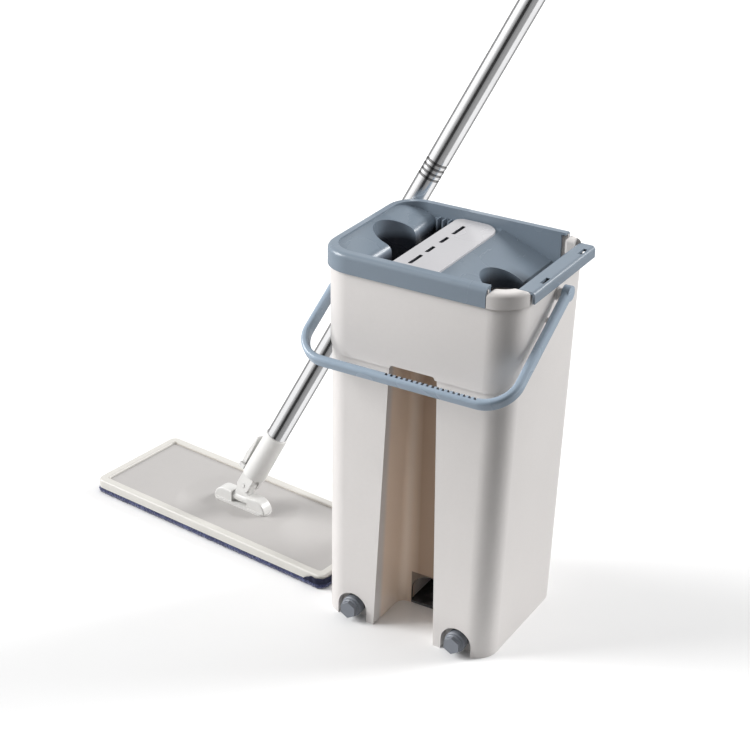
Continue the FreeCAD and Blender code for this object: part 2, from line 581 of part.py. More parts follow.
def build_lid():
    block = extrusion("lid_block", rectangle(None, "lid_outline", "XY_Plane", "skirt_low", *LID_OUTLINE),
                      FreeCAD.Vector(0, 0, 1), "lid_top - skirt_low")
    crowned = rounded("lid_crown", block, "rim_round", at_height(size["lid_top"]))
    under = rectangle(None, "lid_under", "XY_Plane", "skirt_low - 1", "- lid_side + skirt",
                      "lid_side - skirt", "lid_front + skirt", "lid_back - skirt", "lid_corner - skirt")
    hollow = extrusion("lid_hollow", under, FreeCAD.Vector(0, 0, 1), "rim_height + 0.1 - skirt_low + 1")
    well = rectangle(None, "lid_well", "XY_Plane", "tray_low - 5", "- tray_side", "tray_side + 40",
                     "tray_front", "tray_back", "tray_inner_corner")
    opening = extrusion("lid_opening", well, FreeCAD.Vector(0, 0, 1), "lid_top - tray_low + 10")
    ends = polygon(None, "lid_ends", "XY_Plane", "tray_low - 5", [
        ("lid_end_front", "-120"), ("140", "-120"), ("140", "120"), ("lid_end_back", "120"),
        ("lid_end_back", "0"), ("lid_end_front", "0")])
    past = extrusion("lid_past", ends, FreeCAD.Vector(0, 0, 1), "lid_top - tray_low + 10")
    frame = cut("lid_frame", crowned, hollow, opening, past)

    fence_outer = rectangle(None, "fence_outer", "XY_Plane", "tray_low", "- tray_side - lid_wall",
                            "tray_side + 40", "tray_front - lid_wall", "tray_back + lid_wall",
                            "tray_inner_corner + lid_wall")
    fence_block = extrusion("fence_block", fence_outer, FreeCAD.Vector(0, 0, 1),
                            "lid_top - tray_low - 1.5")
    again = rectangle(None, "lid_well_again", "XY_Plane", "tray_low - 5", "- tray_side",
                      "tray_side + 40", "tray_front", "tray_back", "tray_inner_corner")
    opening_again = extrusion("lid_opening_again", again, FreeCAD.Vector(0, 0, 1),
                              "lid_top - tray_low + 10")
    ends_again = box("lid_past_again", "fence_end", "200", "-120", "120", "300", "400")
    low_side = box("lid_low_side", "-150", "- tray_side + 3", "-120", "120", "300", "skirt_low + 4.6")
    fence = cut("lid_fence", fence_block, opening_again, ends_again, low_side)

    left_profile = polygon(None, "shelf_profile", "XZ_Plane", "tray_back + 1", [
        ("- tray_side - 1", "shelf_high"), ("slot_left", "shelf_low"), ("slot_left", "slot_low"),
        ("slot_left - lid_wall", "slot_low"),
        ("slot_left - lid_wall", "shelf_low - lid_wall - 4"), ("- tray_side - 1", "shelf_high - lid_wall")])
    deck_profile = polygon(None, "deck_profile", "XZ_Plane", "tray_back + 1", [
        ("slot_right", "slot_low"), ("slot_right", "deck"), ("slope_start", "deck"),
        ("slope_end", "slope_low"), ("slope_end", "tray_low"), ("slope_end - lid_wall", "tray_low"),
        ("slope_end - lid_wall", "slope_low - lid_wall"), ("slope_start", "deck - lid_wall"),
        ("slot_right + lid_wall", "deck - lid_wall"), ("slot_right + lid_wall", "slot_low")])
    deep = "tray_back - tray_front + 2"
    shelf_bar = extrusion("shelf_bar", left_profile, FreeCAD.Vector(0, -1, 0), deep)
    shelf = rounded("shelf_shoulder", shelf_bar, "shoulder", lambda edge:
                    span(edge).YLength > 100 and abs(span(edge).XMin - size["slot_left"]) < 0.01
                    and abs(span(edge).ZMin - size["shelf_low"]) < 0.01)
    deck_bar = extrusion("deck_bar", deck_profile, FreeCAD.Vector(0, -1, 0), deep)
    decks = fuse("decks", shelf, deck_bar)
    bound = rectangle(None, "deck_bound", "XY_Plane", "tray_low - 15", "- tray_side - 1", "tray_side + 40",
                      "tray_front - 1", "tray_back + 1", "tray_inner_corner + 1")
    within = common("decks_within", decks, extrusion("deck_bound_block", bound,
                    FreeCAD.Vector(0, 0, 1), "lid_top - tray_low + 15"))
    slot_ends = [box("slot_fill_front", "slot_left - 1", "slot_right + 1", "tray_front - 1", "slot_front",
                     "slot_low", "deck - 3"),
                 box("slot_fill_back", "slot_left - 1", "slot_right + 1", "slot_back", "tray_back + 1",
                     "slot_low", "deck - 3")]
    ribs = [box("slot_rib_%d" % i, x, x + " + rib_thick", "slot_back - rib_depth", "slot_back + 1",
                "slot_low", "deck - 1") for i, x in
            enumerate("slot_left + rib_first" + " + rib_pitch" * number for number in range(3))]
    scoops = []
    skins = []
    for name, start, end, low, high_z, low_z in (
            ("left", "- tray_side", "slot_left", "slot_low", "shelf_high", "shelf_low"),
            ("right", "slope_start", "slope_end", "tray_low", "deck", "slope_low")):
        x, y, radius = "scoop_%s_x" % name, "scoop_%s_y" % name, "scoop_%s_radius" % name
        scoops.append(rod("scoop_" + name, "Z", radius, low + " - 1", "lid_top + 5", x, y))
        under = polygon(None, "scoop_under_" + name, "XZ_Plane", "tray_back", [
            (start, high_z + " - scoop_skin"), (end, low_z + " - scoop_skin"), (end, low), (start, low)])
        mass = extrusion("scoop_mass_" + name, under, FreeCAD.Vector(0, -1, 0), "tray_back - tray_front")
        if name == "left":
            mass = rounded("scoop_mass_round", mass, "shoulder", lambda edge:
                           span(edge).YLength > 100 and abs(span(edge).XMin - size["slot_left"]) < 0.01
                           and abs(span(edge).ZMin - amount("shelf_low - scoop_skin")) < 0.01)
        skin = rod("scoop_skin_" + name, "Z", radius + " + lid_wall", low, "lid_top", x, y)
        skins.append(common("scoop_wall_" + name, skin, mass))
    whole = fuse("lid_whole", frame, fence, within, *slot_ends, *skins)
    screw_holes = [rod("lid_screw_hole_%d" % i, "Z", "screw_radius + 0.05", "deck - 10", "deck + 1",
                       "screw_x", y) for i, y in enumerate(("- screw_y", "screw_y"))]
    slits = [box("deck_slit_%d" % i, "slit_x - slit_half - 0.3", "slit_x + slit_half + 0.3",
                 middle + " - " + reach, middle + " + " + reach, "deck - lid_wall - 1", "deck + 1")
             for i, (middle, reach) in enumerate(SLITS)]
    hollowed = cut("lid_hollowed", whole, *scoops, *screw_holes, *slits)
    tray = fuse("lid_tray", hollowed, *ribs)
    finish(tray, "lid_tray", BUCKET)


def build_scraper():
    body = new_body("scraper_plate")
    outline = polygon(body, "plate_outline", "XY_Plane", "deck", [
        ("plate_left", "plate_front"), ("plate_right", "plate_front"), ("plate_right", "plate_back"),
        ("plate_left", "plate_back")])
    pad(body, outline, "plate_thick")
    for side in ("right", "left"):
        soften(body, "plate_corner_" + side, lambda edge, x=amount("plate_" + side): upright(edge)
               and abs(span(edge).XMin - x) < 0.01 and abs(span(edge).YMin - size["plate_back"]) < 0.01)
    for number, (middle, reach) in enumerate(SLITS):
        slit = rectangle(body, "slit_%d" % number, "XY_Plane", "deck", "slit_x - slit_half",
                         "slit_x + slit_half", middle + " - " + reach, middle + " + " + reach,
                         "slit_half - 0.05")
        pocket(body, slit, "plate_thick + 1", backwards=True)
    for number, y in enumerate(("- screw_y", "screw_y")):
        hole = circle(body, "plate_screw_hole_%d" % number, "XY_Plane", "deck", "screw_x", y,
                      "screw_radius + 0.05")
        pocket(body, hole, "plate_thick - 0.8", backwards=True)
    soften(body, "plate_edge", at_height(size["deck"] + size["plate_thick"]))
    finish(body, "scraper_plate", BUCKET)

    screws = []
    for number, y in enumerate(("- screw_y", "screw_y")):
        shank = rod("plate_screw_shank_%d" % number, "Z", "screw_radius", "deck - lid_wall - 0.5",
                    "deck + plate_thick - 1", "screw_x", y)
        head = rod("plate_screw_head_%d" % number, "Z", "screw_head",
                   "deck - lid_wall - screw_head_high", "deck - lid_wall", "screw_x", y)
        screws.append(fuse("plate_screw_%d" % number, shank, head))
    finish(fuse("scraper_screws", *screws), "scraper_screws", BUCKET)

    strip = box("wiper_block", "slot_right - wiper_thick", "slot_right", "- wiper_half", "wiper_half",
                "wiper_low", "wiper_high")
    lip = rounded("wiper_lip", strip, "wiper_thick - 1.5", lambda edge:
                  span(edge).YLength > 50 and span(edge).XMax < size["slot_right"] - 1)
    tab = box("wiper_tab_block", "slot_right - wiper_thick", "slot_right", "- wiper_half",
              "- wiper_half + wiper_tab", "wiper_high - 2", "wiper_tab_high")
    finish(fuse("wiper_whole", lip, tab), "wiper_blade", BUCKET)


def build_bar():
    top = box("bar_block", "bar_left", "bar_right", "bar_front", "bar_back", "bar_inner_low", "bar_top")
    shaped = rounded("bar_round", top, "bar_edge", lambda edge:
                     span(edge).YLength > 50 and span(edge).ZMin > size["bar_top"] - 0.01)
    under = box("bar_under", "bar_left + bar_thick", "bar_right - bar_thick", "bar_front - 1",
                "bar_back + 1", "bar_inner_low - 1", "bar_top - bar_thick")
    outside = box("bar_outside", "bar_right - bar_thick - 1", "bar_right + 1", "bar_front - 1",
                  "bar_back + 1", "bar_inner_low - 1", "skirt_low")
    slits = [box("bar_slit_%d" % i, "bar_slit_x - slit_half", "bar_slit_x + slit_half",
                 middle + " - bar_slit_long", middle + " + bar_slit_long", "bar_top - 4", "bar_top + 1")
             for i, middle in enumerate(("bar_slit_one", "bar_slit_two"))]
    leg_end = box("bar_leg_end", "bar_left - 1", "bar_left + bar_thick + 0.1", "bar_leg_back",
                  "bar_back + 1", "bar_inner_low - 1", "bar_top - bar_thick")
    finish(cut("rinse_bar", shaped, under, outside, leg_end, *slits), "rinse_bar", BUCKET)


# ---- carry handle, in a frame on the pivot with -Y along the arms ----

def build_bail():
    body = new_body("bail_arch")
    outer = rectangle(body, "bail_outer", "XY_Plane", "0", "- arm_inner - arm_thick",
                      "arm_inner + arm_thick", "- arm_length - arm_thick", "60", "bail_bend")
    feature = pad(body, outer, "bail_deep")
    feature.Midplane = True
    inner = rectangle(body, "bail_inner", "XY_Plane", "0", "- arm_inner", "arm_inner", "- arm_length",
                      "61", "bail_bend - arm_thick")
    hollow = pocket(body, inner, "bail_deep + 2")
    hollow.Midplane = True
    ends = rectangle(body, "bail_ends", "XY_Plane", "0", "- arm_inner - arm_thick - 5",
                     "arm_inner + arm_thick + 5", "arm_past", "90", "1")
    trim = pocket(body, ends, "bail_deep + 2")
    trim.Midplane = True
    soften(body, "bail_round", lambda edge: span(edge).ZLength < 0.01
           and abs(abs(span(edge).ZMin) - size["bail_deep"] / 2) < 0.01 and span(edge).YMax < size["arm_past"] + 0.01
           and max(span(edge).XLength, span(edge).YLength) > size["arm_thick"] + 0.5)
    eyes = []
    bores = []
    for side in ("right", "left"):
        start = "arm_inner" if side == "right" else "- arm_inner - arm_thick"
        end = "arm_inner + arm_thick" if side == "right" else "- arm_inner"
        eyes.append(rod("eye_" + side, "X", "eye_radius", start, end, "arm_past", "0"))
        deep = ("arm_inner - 1", "arm_inner + eye_deep")
        if side == "left":
            deep = (minus(deep[1]), minus(deep[0]))
        bores.append(rod("eye_bore_" + side, "X", "peg_radius + peg_gap", *deep, "0", "0"))
    notches = []
    for number in range(int(size["notch_count"])):
        notch = box("notch_%d" % number, "notch_first", "notch_first + notch_wide",
                    "- arm_length - notch_deep", "- arm_length + 1", "notch_low", "bail_deep")
        notch.setExpression("Placement.Base.x",
                            "dims.notch_first + %d * dims.notch_pitch" % number)
        notches.append(notch)
    whole = fuse("bail_whole", body, *eyes)
    finish(cut("bail_handle_cut", whole, *bores, *notches), "bail_handle", BAIL)

    for side in ("right", "left"):
        stops = ["rim_side - 1", "arm_inner + eye_deep - peg_end_gap", "boss_end", "collar_end"]
        if side == "left":
            stops = [minus(stops[i]) for i in (1, 0, 3, 2)]
        shank = rod("peg_pin_" + side, "X", "peg_radius", stops[0], stops[1], "pivot_y", "pivot_z")
        collar = rod("peg_collar_" + side, "X", "peg_collar", stops[2], stops[3], "pivot_y", "pivot_z")
        finish(fuse("bail_peg_" + side, shank, collar), "bail_peg_" + side, BUCKET)


# ---- drain fittings: a gland in the wall, a washer and a screw plug ----

def drain_frame(side):
    """Frame of a drain: its Z runs out of the bucket's front."""
    return BUCKET * move(side * size["drain_x"], 0, size["drain_z"], (1, 0, 0), 90)


def build_drains():
    for side, name in ((1, "right"), (-1, "left")):
        frame = drain_frame(side)
        gland = turned("drain_gland_" + name, [
            ("gland_bore", minus("gland_end")), ("gland_radius", minus("gland_end")),
            ("gland_radius", minus("niche_back")), ("gland_flange", minus("niche_back")),
            ("gland_flange", minus("niche_back") + " + gland_thick"),
            ("gland_bore", minus("niche_back") + " + gland_thick")])
        finish(gland, "drain_gland_" + name, frame)
        face = minus("niche_back") + " + gland_thick"
        seal = turned("drain_seal_" + name, [
            ("seal_bore", face), ("seal_radius", face), ("seal_radius", face + " + seal_thick"),
            ("seal_bore", face + " + seal_thick")])
        finish(seal, "drain_seal_" + name, frame)
        plug = turned("drain_plug_" + name, [
            ("0", minus("plug_end")), ("plug_shank", minus("plug_end")),
            ("plug_shank", face + " + seal_thick"), ("plug_flange - plug_chamfer", face + " + seal_thick"),
            ("plug_flange", face + " + seal_thick + plug_chamfer"),
            ("plug_flange", minus("plug_shoulder") + " - plug_chamfer"),
            ("plug_flange - plug_chamfer", minus("plug_shoulder")), ("plug_step", minus("plug_shoulder")),
            ("plug_step", minus("plug_shoulder") + " + 2"),
            ("plug_step - plug_chamfer", minus("plug_shoulder") + " + 2.8"),
            ("0", minus("plug_shoulder") + " + 2.8")])
        half = size["plug_hex"] * math.tan(math.radians(30))
        turn_x = [("plug_hex", "- %.4f" % half), ("plug_hex", "%.4f" % half), ("0", "%.4f" % (2 * half)),
                  ("- plug_hex", "%.4f" % half), ("- plug_hex", "- %.4f" % half),
                  ("0", "- %.4f" % (2 * half))]
        hexagon = polygon(plug, "plug_hexagon_" + name, "XY_Plane", minus("plug_shoulder"), turn_x)
        pad(plug, hexagon, "plug_shoulder - plug_face")
        finish(plug, "drain_plug_" + name, frame)


# ---- mop head ----

def build_head():
    sides = ("head_left", "head_right", "- head_half", "head_half", "head_corner")
    rim = new_body("head_rim")
    pad(rim, rectangle(rim, "rim_outline", "XY_Plane", "pad_thick", *sides), "head_rim_top - pad_thick")
    inner = rectangle(rim, "rim_opening", "XY_Plane", "pad_thick", "head_left + rim_wide",
                      "head_right - rim_wide", "- head_half + rim_wide", "head_half - rim_wide",
                      "opening_corner")
    pocket(rim, inner, "head_rim_top - pad_thick + 1", backwards=True)
    soften(rim, "2.2", lambda edge: at_height(size["head_rim_top"])(edge) and edge.Length > 1)
    finish(rim, "head_rim", HEAD)

    panel = new_body("head_panel")
    outline = rectangle(panel, "panel_outline", "XY_Plane", "panel_low", "head_left + rim_wide",
                        "head_right - rim_wide", "- head_half + rim_wide", "head_half - rim_wide",
                        "opening_corner")
    pad(panel, outline, "panel_top - panel_low")
    for number, x in enumerate(("- bracket_screw_x", "bracket_screw_x")):
        hole = circle(panel, "panel_hole_%d" % number, "XY_Plane", "panel_low", x + " + bracket_x", "0",
                      "bracket_screw_radius + 0.05")
        pocket(panel, hole, "panel_top - panel_low + 1", backwards=True)
        sink = circle(panel, "panel_sink_%d" % number, "XY_Plane", "panel_low", x + " + bracket_x", "0",
                      "bracket_screw_head + 0.1")
        pocket(panel, sink, "bracket_screw_sink", backwards=True)
    finish(panel, "head_panel", HEAD)

    strips = []
    for name, y in (("front", "- strip_y"), ("back", "strip_y")):
        strips.append(box("strip_" + name, "head_left + strip_inset", "head_right - strip_inset",
                          y + " - strip_wide + 13", y + " + 13", "pad_thick", "panel_low"))
    finish(fuse("hook_strips", *strips), "hook_strips", HEAD)

    pad_body = new_body("mop_pad")
    outline = rectangle(pad_body, "pad_outline", "XY_Plane", "0", "head_left + pad_inset",
                        "head_right - pad_inset", "- head_half + pad_inset", "head_half - pad_inset",
                        "head_corner - pad_inset")
    pad(pad_body, outline, "pad_thick")
    soften(pad_body, "2", at_height(0))
    finish(pad_body, "mop_pad", HEAD)


def build_bracket():
    base = box("bracket_base", "- base_half", "base_half", "- base_deep", "base_deep", "panel_top",
               "panel_top + base_thick")
    base_round = rounded("bracket_base_round", base, "base_deep - 1", upright)
    wings = []
    for side in (1, -1):
        inner = "wing_gap" if side == 1 else "- wing_gap"
        outer = "base_half - 1" if side == 1 else "- base_half + 1"
        low, high = (inner, outer) if side == 1 else (outer, inner)
        block = box("wing_block_%d" % (side + 1), low, high, "- wing_deep", "wing_deep",
                    "panel_top + 1", "wing_top")
        edge_x = amount(outer)
        curve = rounded("wing_curve_%d" % (side + 1), block, "wing_top - panel_top - 1.5",
                        lambda edge, x=edge_x: span(edge).YLength > 5 and abs(span(edge).XMin - x) < 0.01
                        and span(edge).ZMin > size["wing_top"] - 0.01)
        wings.append(rounded("wing_%d" % (side + 1), curve, "1.4", lambda edge, x=amount(inner):
                             abs(abs(span(edge).YMin) - size["wing_deep"]) < 0.01
                             and span(edge).YLength < 0.01 and span(edge).ZMax > size["roll_z"]
                             and abs(span(edge).XMin - x) + span(edge).XLength > 0.01))
    whole = fuse("bracket_whole", base_round, *wings)
    pin_hole = rod("roll_pin_hole", "X", "roll_pin_radius + 0.02", "- roll_pin_half", "roll_pin_half",
                   "0", "roll_z")
    holes = [rod("bracket_hole_%d" % i, "Z", "bracket_screw_radius + 0.05", "panel_top - 1",
                 "panel_top + bracket_screw_up + 0.3", x, "0") for i, x in
             enumerate(("- bracket_screw_x", "bracket_screw_x"))]
    finish(cut("pivot_bracket", whole, pin_hole, *holes), "pivot_bracket", BRACKET)

    screws = []
    for number, x in enumerate(("- bracket_screw_x", "bracket_screw_x")):
        shank = rod("bracket_shank_%d" % number, "Z", "bracket_screw_radius",
                    "panel_low + bracket_screw_sink - 0.5", "panel_top + bracket_screw_up", x, "0")
        head = rod("bracket_head_%d" % number, "Z", "bracket_screw_head", "panel_low",
                   "panel_low + bracket_screw_sink", x, "0")
        screws.append(fuse("bracket_screw_%d" % number, shank, head))
    finish(fuse("bracket_screws", *screws), "bracket_screws", BRACKET)


def build_yoke():
    hub = rod("yoke_hub", "X", "hub_radius", "bracket_x - hub_half", "bracket_x + hub_half", "0", "0")
    neck_profile = polygon(None, "yoke_neck_profile", "XZ_Plane", "neck_half", [
        ("neck_left", "0"), ("neck_low", "0"), ("neck_low", "neck_shoulder"), ("neck_wide", "tilt_up"),
        ("- neck_wide", "tilt_up"), ("neck_left", "neck_shoulder")])
    neck = extrusion("yoke_neck", neck_profile, FreeCAD.Vector(0, -1, 0), "neck_half + neck_half")
    eye = rod("yoke_eye", "Y", "neck_wide", "- neck_half", "neck_half", "0", "tilt_up")
    whole = fuse("yoke_whole", hub, neck, eye)
    roll_hole = rod("yoke_roll_hole", "X", "roll_pin_radius + pin_gap", "bracket_x - hub_half - 1",
                    "bracket_x + hub_half + 1", "0", "0")
    tilt_hole = rod("yoke_tilt_hole", "Y", "tilt_pin_radius + pin_gap", "- 12", "12", "0", "tilt_up")
    finish(cut("yoke_cut", whole, roll_hole, tilt_hole), "yoke", YOKE)
    pin("roll_pin", "X", "roll_pin_radius", "roll_pin_half", BRACKET, z="roll_z")


def build_socket():
    barrel = turned("socket_barrel", [
        ("0", "barrel_low"), ("barrel_radius - 1.5", "barrel_low"), ("barrel_radius", "barrel_low + 1.5"),
        ("socket_neck", "socket_top - 1"), ("socket_neck - 0.6", "socket_top"), ("0", "socket_top")])
    ear = rod("ear_round", "Y", "ear_radius", "- ear_outer", "ear_outer", "0", "0")
    cheek = box("ear_cheek", "- ear_radius", "ear_radius", "- ear_outer", "ear_outer", "0",
                "barrel_low + 1")
    lugs = [box("lever_lug_%d" % i, "lever_x - lever_knuckle", "- barrel_radius + 2", low, high,
                "lever_low - lever_knuckle", "lever_low + lever_knuckle") for i, (low, high) in
            enumerate((("- lug_half", "- lever_half - 0.4"), ("lever_half + 0.4", "lug_half")))]
    whole = fuse("socket_whole", barrel, ear, cheek, *lugs)
    fork = box("fork_gap", "- 20", "20", "- ear_inner", "ear_inner", "- 12", "barrel_low - 2")
    bore = rod("pole_bore", "Z", "tube_radius + bore_gap", "socket_bore_low", "socket_top + 1", "0", "0")
    pin_hole = rod("tilt_pin_hole", "Y", "tilt_pin_radius + 0.02", "- 20", "20", "0", "0")
    lever_hole = rod("lever_pin_hole", "Y", "lever_pin + 0.02", "- 10", "10", "lever_x", "lever_low")
    screw_hole = rod("socket_screw_hole", "Y", "socket_screw_radius + 0.05", "9", "14", "0",
                     "socket_screw_t")
    finish(cut("socket", whole, fork, bore, pin_hole, lever_hole, screw_hole), "socket", POLE)
    pin("tilt_pin", "Y", "tilt_pin_radius", "tilt_pin_half", POLE)
    shank = rod("socket_screw_shank", "Y", "socket_screw_radius", "tube_radius + 0.1", "barrel_radius",
                "0", "socket_screw_t")
    head = rod("socket_screw_top", "Y", "socket_screw_head", "barrel_radius - 0.1",
               "barrel_radius + 1.2", "0", "socket_screw_t")
    finish(fuse("socket_screw", shank, head), "socket_screw", POLE)


def build_lever():
    knuckle = rod("lever_knuckle_rod", "Y", "lever_knuckle", "- lever_half", "lever_half", "lever_x",
                  "lever_low")
    blade = polygon(None, "lever_profile", "XZ_Plane", "lever_half", [
        ("lever_x - lever_knuckle", "lever_low"), ("lever_x + lever_knuckle", "lever_low"),
        ("lever_x + 0.7", "lever_high - 4"), ("lever_x + 0.2", "lever_high"),
        ("lever_x - 0.8", "lever_high"), ("lever_x - lever_bulge", "lever_low + 14")])
    tab = extrusion("lever_tab", blade, FreeCAD.Vector(0, -1, 0), "lever_half + lever_half")
    whole = fuse("lever_whole", knuckle, tab)
    hole = rod("lever_bore", "Y", "lever_pin + 0.05", "- 8", "8", "lever_x", "lever_low")
    finish(cut("lock_lever", whole, hole), "lock_lever", POLE)
    pin("lever_pin", "Y", "lever_pin", "lug_half", POLE, x="lever_x", z="lever_low")


# ---- pole ----

def tube(label, low, high, ringed):
    """A steel tube; a ringed one has four rolled grooves near its lower end."""
    outer = [("tube_radius", low)]
    if ringed:
        for number in range(4):
            start = "%s + ring_first + %.1f" % (low, number * size["ring_pitch"])
            outer += [("tube_radius", start), ("tube_radius - ring_deep", start + " + 0.6"),
                      ("tube_radius - ring_deep", start + " + ring_wide - 0.6"),
                      ("tube_radius", start + " + ring_wide")]
    outer.append(("tube_radius", high))
    return turned(label, [("tube_radius - tube_wall", low)] + outer + [("tube_radius - tube_wall", high)])


def build_pole():
    joints = ["joint_one", "joint_one + section_long", "joint_one + section_long + section_long"]
    bounds = ["section_low"] + joints + ["tube_end"]
    for number in range(4):
        piece = tube("pole_section_%d" % (number + 1), bounds[number], bounds[number + 1], 0 < number)
        finish(piece, "pole_section_%d" % (number + 1), POLE)
    for number, joint in enumerate(joints, start=1):
        coupler = turned("pole_coupler_%d" % number, [
            ("coupler_bore", joint + " - coupler_half"), ("coupler_radius", joint + " - coupler_half"),
            ("coupler_radius", joint + " + coupler_half"), ("coupler_bore", joint + " + coupler_half")])
        finish(coupler, "pole_coupler_%d" % number, POLE)
    grip = turned("grip", [
        ("tube_radius + 0.05", "grip_low"), ("grip_neck", "grip_low"), ("grip_neck", "grip_low + 4"),
        ("grip_radius", "grip_low + 12"), ("grip_radius - 1.2", "grip_low + 60"),
        ("grip_radius", "grip_high - 14"), ("grip_neck", "grip_high"),
        ("tube_radius + 0.05", "grip_high")])
    finish(grip, "grip", POLE)
    plug = rod("cap_plug", "Z", "tube_radius - tube_wall - 0.05", "grip_high - 20", "grip_high", "0", "0")
    disc = rod("cap_disc", "Z", "grip_neck", "grip_high", "grip_high + 4", "0", "0")
    tab = box("cap_tab", "- grip_neck + 1", "grip_neck - 1", "- cap_thick", "cap_thick", "grip_high + 3",
              "cap_top")
    tab_round = rounded("cap_tab_round", tab, "grip_neck - 1.5", lambda edge:
                        span(edge).YLength > 5 and span(edge).ZMin > size["cap_top"] - 0.01)
    hole = rod("cap_hole", "Y", "eye_hole", "- 10", "10", "0", "cap_top - 13")
    finish(cut("end_cap", fuse("cap_whole", plug, disc, tab_round), hole), "end_cap", POLE)


build_bucket()
build_lid()
build_scraper()
build_bar()
build_bail()
build_drains()
build_head()
build_bracket()
build_yoke()
build_socket()
build_lever()
build_pole()
doc.recompute()

for thing in doc.Objects:
    if "Invalid" in thing.State or "Error" in thing.State:
        raise RuntimeError("%s failed: %s" % (thing.Label, thing.State))
os.makedirs("parts", exist_ok=True)
for part in parts:
    if part.Shape.isNull() or not part.Shape.isValid():
        raise RuntimeError(part.Label + " has no valid shape")
    part.Shape.exportStep("parts/%s.step" % part.Label)
    bounds = part.Shape.BoundBox
    print("%-18s solids %d volume %9.0f  X %7.1f %7.1f  Y %7.1f %7.1f  Z %7.1f %7.1f" % (
        part.Label, len(part.Shape.Solids), part.Shape.Volume, bounds.XMin, bounds.XMax,
        bounds.YMin, bounds.YMax, bounds.ZMin, bounds.ZMax))
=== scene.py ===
import json
import math
import random

import bpy
from mathutils import Euler, Matrix, Vector


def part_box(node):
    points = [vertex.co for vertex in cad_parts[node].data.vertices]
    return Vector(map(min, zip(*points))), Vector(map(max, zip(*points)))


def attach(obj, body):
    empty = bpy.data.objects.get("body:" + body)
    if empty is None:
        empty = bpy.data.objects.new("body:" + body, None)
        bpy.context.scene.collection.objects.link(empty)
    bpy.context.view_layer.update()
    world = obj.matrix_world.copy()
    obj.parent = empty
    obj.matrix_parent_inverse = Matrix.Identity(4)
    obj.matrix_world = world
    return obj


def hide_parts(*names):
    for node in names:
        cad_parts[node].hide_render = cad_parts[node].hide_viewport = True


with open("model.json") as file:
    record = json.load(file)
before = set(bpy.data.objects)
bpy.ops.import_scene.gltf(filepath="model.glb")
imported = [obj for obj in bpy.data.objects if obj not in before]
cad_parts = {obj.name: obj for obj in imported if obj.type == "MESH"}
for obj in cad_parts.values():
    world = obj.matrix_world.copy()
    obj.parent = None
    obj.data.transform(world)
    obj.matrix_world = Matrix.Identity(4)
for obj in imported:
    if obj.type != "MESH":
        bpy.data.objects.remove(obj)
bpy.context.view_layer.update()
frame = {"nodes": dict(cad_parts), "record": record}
nodes = frame["nodes"]

# ---- measures, in metres ----

LID_HALF_WIDTH = 0.1023
LID_FRONT = 0.0812
LID_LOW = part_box("lid_tray")[0]
BUCKET = Vector((LID_LOW.x + LID_HALF_WIDTH, LID_LOW.y + LID_FRONT, 0.0))

CAMERA_PLACE = Vector((0.6857, -1.3334, 0.9895))
CAMERA_TURN = math.radians(29.99)
CAMERA_RISE = math.radians(26.48)
CAMERA_ROLL = math.radians(1.04)
CAMERA_LENS = 85.48
CAMERA_SENSOR = 36.0

# the mop head's place and directions, and its outline about its joint
JOINTS = {joint["name"]: joint for joint in frame["record"]["behaviour"]["joints"]}
HEAD_ORIGIN = Vector(JOINTS["yoke_roll"]["pos_m"]) * Vector((1.0, 1.0, 0.0))
HEAD_ALONG = -Vector(JOINTS["yoke_roll"]["axis"])
HEAD_ACROSS = Vector((0.0, 0.0, 1.0)).cross(HEAD_ALONG)
HEAD_LEFT = -0.1635
HEAD_RIGHT = 0.1538
HEAD_HALF = 0.062
HEAD_CORNER = 0.0085
HEAD_TURN = math.atan2(HEAD_ALONG.y, HEAD_ALONG.x)
PAD_TOP = 0.0062

# how far the yoke, the pole and the carry handle are turned at rest
ROLL_REST = math.radians(-13.8)
TILT_REST = math.radians(23.3)
BAIL_REST = math.radians(31.0)
BAIL_PIVOT = Vector(JOINTS["bail_swing"]["pos_m"])
POLE_TURN = (Matrix.Rotation(HEAD_TURN, 3, "Z") @ Matrix.Rotation(ROLL_REST, 3, "X")
             @ Matrix.Rotation(TILT_REST, 3, "Y")).to_euler()

# the pole's foot, the direction it leans in at rest, and its radius
POLE_FOOT = Vector(JOINTS["pole_tilt"]["pos_m"])
POLE_ALONG = Vector((0.4193, 0.1692, 0.8919)).normalized()
POLE_RADIUS = 0.011


# ---- node helpers ----

# the sockets of a Mix node that carry its factor, its two colours and its result
MIX_FACTOR = 0
MIX_FIRST = 6
MIX_SECOND = 7
MIX_RESULT = 2


